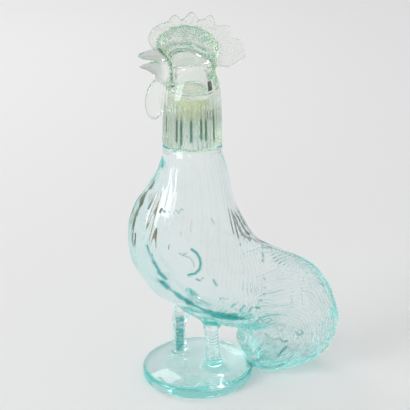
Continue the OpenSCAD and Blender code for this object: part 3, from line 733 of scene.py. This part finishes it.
# Head: one pressed piece of pale green glass that goes over the neck. The ruff is fluted, comb and crown
# are stippled by the mould, the wattle is finely ribbed and the beak is left smooth.
flutes, flute_deep, flute_top, flute_end = 36, 0.95, 237, 246
ruff_low, ruff_high = 204.4, 256
ruff_heights, ruff_radii = [ruff_low, 236, rim_z, ruff_high], [23.5, 22.6, 21.9, 18]
throat_x, throat_z, throat_r = -31.6, 243.5, 14
comb_half, comb_thinner, comb_x, comb_z = 2.7, 1.0, 0, 267
wattle_half, wattle_rib, wattle_pitch = 3.2, 0.3, 2.3
eye_x, eye_y, eye_z, eye_r = -2.1, 10.3, 284.7, 2.6
sleeve_r, sleeve_top = 14.65, 247
crown_r, crown_low, crown_top, crown_round = 13, 240, 270, 0.8
crown_rows = np.array([
    (237.5, -17.0, 22.0, 0.45, 21.4, 1), (243.5, -17.0, 22.0, 0.45, 21.4, 1),
    (253.1, -16.8, 20.9, 0.46, 19.5, 1), (262.2, -16.5, 18.0, 0.5, 17.5, 1),
    (270.3, -19.0, 17.8, 0.5, 15.5, 1), (279.1, -25.0, 20.5, 0.5, 12.5, 1),
    (285.0, -26.5, 18.5, 0.5, 10.5, 1), (291.1, -23.0, 13.0, 0.5, 9.0, 1),
    (295.4, -15.0, 4.5, 0.5, 6.5, 1), (297.0, -9.0, -1.5, 0.5, 3.0, 1),
])


def rounded(corners):
    """Closed smooth line through the corners."""
    steps = 3
    b = np.array(corners, float)
    a, c, d = np.roll(b, 1, 0), np.roll(b, -1, 0), np.roll(b, -2, 0)
    t = (np.arange(steps) / steps)[:, None, None]
    line = 0.5 * (2 * b + (c - a) * t + (2 * a - 5 * b + 4 * c - d) * t**2 + (3 * b - a - 3 * c + d) * t**3)
    return line.transpose(1, 0, 2).reshape(-1, 2)


def cut_out(line, x, z):
    """Distance in the middle plane to a closed line, below 0 inside it."""
    x, z = x + 0 * z, z + 0 * x
    near, inside = np.full(x.shape, 1e9), np.zeros(x.shape, bool)
    for (ax, az), (bx, bz) in zip(line, np.roll(line, -1, 0)):
        dx, dz = bx - ax, bz - az
        t = np.clip(((x - ax) * dx + (z - az) * dz) / (dx * dx + dz * dz), 0, 1)
        near = np.minimum(near, (x - ax - t * dx) ** 2 + (z - az - t * dz) ** 2)
        if az != bz:
            inside ^= ((z < az) != (z < bz)) & (x < ax + (z - az) * dx / dz)
    return np.where(inside, -1, 1) * np.sqrt(near)


comb_line = rounded([
    (-27, 278), (-34, 281.7), (-36.7, 289.4), (-33, 296.7), (-26.4, 300.8), (-22.3, 301.6), (-18.7, 305.6),
    (-16.2, 306.6), (-13.8, 305.4), (-11.9, 302.8), (-8.6, 304.4), (-5.6, 307.8), (-3.5, 308.2),
    (-1.6, 307.3), (1.9, 302.3), (6, 303), (9.7, 305.2), (11.6, 304.9), (13.4, 302.6), (15.7, 297),
    (20, 297.2), (23.8, 296.6), (25.4, 295.2), (26.4, 292), (27.5, 287), (31.5, 286.4), (35, 284.6),
    (37.6, 280), (38.6, 275.8), (37.8, 272.1), (35, 269.3), (31.3, 267.1), (25.5, 264.4), (19.6, 264.5),
    (13, 266), (6, 272), (-8, 280),
])
upper_beak = rounded([
    (-22, 284), (-28.5, 280.6), (-35.5, 280.3), (-41.6, 278.6), (-45, 276.6), (-43, 273.9), (-37.2, 272.4),
    (-30, 271.7), (-22, 271.2),
])
lower_beak = rounded([
    (-22, 272), (-30.5, 271.5), (-35.5, 270.6), (-39.9, 269.4), (-44.4, 267.2), (-37.3, 263.8), (-33, 260.2),
    (-30, 256), (-22, 252),
])
wattle_line = rounded([
    (-27.5, 259), (-31.6, 257.4), (-37.3, 250.3), (-39.7, 242.4), (-39.8, 234.3), (-37.8, 228), (-33, 224.7),
    (-28.6, 227.3), (-23.4, 233.5), (-18.5, 240), (-17, 252), (-20, 262),
])


def flute_turn(across, y):
    """Angle round the neck's axis, counted in flutes."""
    return np.arctan2(y, across) * flutes / (2 * np.pi)


def head_glass(x, y, z):
    """Below 0 in the head's glass."""
    across = x - neck_x
    out = np.sqrt(across**2 + y**2 + 1e-9)
    turn = flute_turn(across, y)
    flute = np.abs(turn - np.floor(turn) - 0.5) * 2
    groove = flute_deep * np.sqrt(np.clip(1 - (1 - flute) ** 2 / 0.62, 0, 1)) * ease(flute_end, flute_top, z)
    ruff = out - np.interp(z, ruff_heights, ruff_radii) + groove
    ruff = smooth_max(ruff, np.maximum(ruff_low - z, z - ruff_high), 1.6)
    ruff = smooth_max(ruff, throat_r - np.sqrt((across - throat_x) ** 2 + (z - throat_z) ** 2), 2.0)
    solid = smooth_min(ruff, loft(crown_rows, across, y, z), 1.5)
    rise = np.sqrt((across - comb_x) ** 2 + (z - comb_z) ** 2)
    comb_thick = comb_half - comb_thinner * np.clip((rise - 22) / 18, 0, 1)
    comb = smooth_max(cut_out(comb_line, x, z), np.abs(y) - comb_thick, 2.0)
    solid = smooth_min(solid, comb, 2.5)
    beak_half = np.interp(x, [-45, -38, -29, -22], [1.2, 3.6, 6.0, 7.5])
    for line in (upper_beak, lower_beak):
        deep = cut_out(line, x, z)
        swell = beak_half * np.sqrt(np.clip(1 - np.clip(1 + deep / 4.5, 0, 1) ** 2, 0, 1) + 0.01)
        solid = smooth_min(solid, smooth_max(deep, 0.8 * (np.abs(y) - swell), 1.0), 1.2)
    ribs = wattle_rib * np.cos(2 * np.pi * (x - 0.1 * z) / wattle_pitch)
    ribs = ribs * ease(-35, -32, x - 0.1 * (z - 245))
    wattle = smooth_max(cut_out(wattle_line, x, z), np.abs(y) - wattle_half - ribs, 2.6)
    solid = smooth_min(solid, wattle, 1.4)
    eye = np.sqrt((across - eye_x) ** 2 + (np.abs(y) - eye_y) ** 2 + (z - eye_z) ** 2) - eye_r
    solid = smooth_min(solid, eye, 0.8)
    beyond, above = out - crown_r, z - crown_top
    corner = np.clip(1 - np.abs(np.maximum(beyond, -6) - np.maximum(above, -6)) / 3, 0, 1)
    dome = np.maximum(np.maximum(beyond, above) + crown_round * corner, crown_low - z)
    hollow = np.minimum(np.maximum(out - sleeve_r, z - sleeve_top), dome)
    return smooth_max(solid, -hollow, 0.5)


brow_x = [-29, -22, -16.4, -8.4, -1.3, 4.7, 9.5, 12, 20]
brow_z = [281, 278, 283, 284, 281.5, 278, 274.5, 268, 262]


def stippled(points):
    """1 on comb and crown, which the mould leaves pebbled, and 0 on beak, wattle and ruff."""
    x, y, z = points.T
    crown = ease(-1, 2, z - np.interp(x, brow_x, brow_z))
    comb = ease(4.5, 3, np.abs(y)) * ease(18, 26, np.hypot(x - neck_x, z - 272))
    return crown * (1 - 0.7 * comb) * ease(-34, -29, x + 0.6 * np.maximum(z - 282, 0))


# creases round the face: depth, half width and the line in the side view
brow_lines = [
    (1.0, 1.2, (
        (-22, 277), (-19.9, 280), (-16.4, 282), (-8.4, 282.5), (-1.3, 280), (4.7, 276.5), (9.5, 273),
        (12, 267))),
    (1.4, 1.0, ((-29, 281), (-25, 276.7), (-21.2, 270.8), (-19.8, 264), (-19.5, 254))),
]


def brows(points, normals):
    """Depth of the creases over the neck and behind the beak."""
    x, _, z = points.T
    side = ease(0.15, 0.5, np.abs(normals[:, 1]))
    return side * sum(depth * stroke(x, z, path, wide) for depth, wide, path in brow_lines)


shaded_grooves = (2, 5, 6, 9, 11, 12, 15, 18, 20, 23, 24, 26, 28, 29, 31, 34)
groove_starts = np.random.default_rng(8).uniform(0, 1, flutes)


def flute_shade(points):
    """Painted shade over the ruff, with darker bars in some of its grooves."""
    x, y, z = points.T
    turn = flute_turn(x - neck_x, y)
    groove = np.round(turn).astype(int)
    line = ease(0.33, 0.18, np.abs(turn - groove)) * np.isin(groove % flutes, shaded_grooves)
    line = line * ease(0, 4, z - 207 - 8 * groove_starts[groove % flutes])
    out = np.hypot(x - neck_x, y)
    outer = ease(18, 20, out) * ease(26, 24.5, out) * ease(205, 209, z) * ease(flute_end, 240, z)
    low = ease(234, 226, z)
    return outer * (0.05 + 0.18 * low + line * (0.2 + 0.8 * low))


def inside_head(points):
    """True on the walls of the hollow that goes over the neck."""
    return (np.hypot(points[:, 0] - neck_x, points[:, 1]) < sleeve_r + 0.35) & (points[:, 2] < crown_top + 1)


head_pitch, head_box = 0.9, ((-49, -26, 202), (43, 26, 311))
stipple_high, stipple_size = 0.2, 1.7
head, points, normals = glass_skin("green_head", head_glass, *head_box, head_pitch)
wattle = (points[:, 0] < -15) & (points[:, 2] > 222) & (points[:, 2] < 285)
ruff = points[:, 2] < flute_end
detailed = (stippled(points) > 0.02) | wattle | ruff | (brows(points, normals) > 0.05)
points, normals = finer(head, head_glass, detailed & ~inside_head(points), head_pitch)
creases = np.where(inside_head(points), 0, brows(points, normals))
rough = np.where(inside_head(points), 0, stippled(points))
# painted shade: deeper green in the creases, on the beak, over the stippling and in bars in the ruff's
# grooves
beak = ease(-24, -29, points[:, 0]) * ease(258, 263, points[:, 2]) * ease(284, 281, points[:, 2])
paint(head, "deep", np.clip(0.6 * creases + 0.22 * beak + 0.11 * rough + flute_shade(points), 0, 1))
paint(head, "rough", rough)
high = stipple_high * rough * pebbles(points, stipple_size) - creases
set_points(head, points + high[:, None] * normals)

# the deeper green is the colour of the head's painted shade
painted_shade_green, green_tint = (0.03, 0.11, 0.05), (0.3, 0.7, 0.32)
dot_scale, dot_edge, dot_core = 520, 0.42, 0.12
green, _, bump = moulded(
    "green_glass", clear, painted_shade_green, haze=0.02, wave_size=120, wave_high=0.8, ior=glass_ior)
tint(green, green_tint, density=8.0)
tree = green.node_tree
place = tree.nodes.new("ShaderNodeTexCoord")
dots = tree.nodes.new("ShaderNodeTexVoronoi")
dots.inputs["Scale"].default_value = dot_scale
dot = tree.nodes.new("ShaderNodeMapRange")
dot.interpolation_type = "SMOOTHSTEP"
dot.inputs["From Min"].default_value = dot_edge
dot.inputs["From Max"].default_value = dot_core
pebbled = tree.nodes.new("ShaderNodeAttribute")
pebbled.attribute_name = "rough"
raised = tree.nodes.new("ShaderNodeMath")
raised.operation = "MULTIPLY"
wire(tree, (
    (place.outputs["Object"], dots.inputs["Vector"]), (dots.outputs["Distance"], dot.inputs["Value"]),
    (dot.outputs["Result"], raised.inputs[0]), (pebbled.outputs["Fac"], raised.inputs[1]),
    (raised.outputs["Value"], bump.inputs["Height"]),
))
head.data.materials.append(green)
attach(head, "head")
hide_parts("head")

low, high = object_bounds()
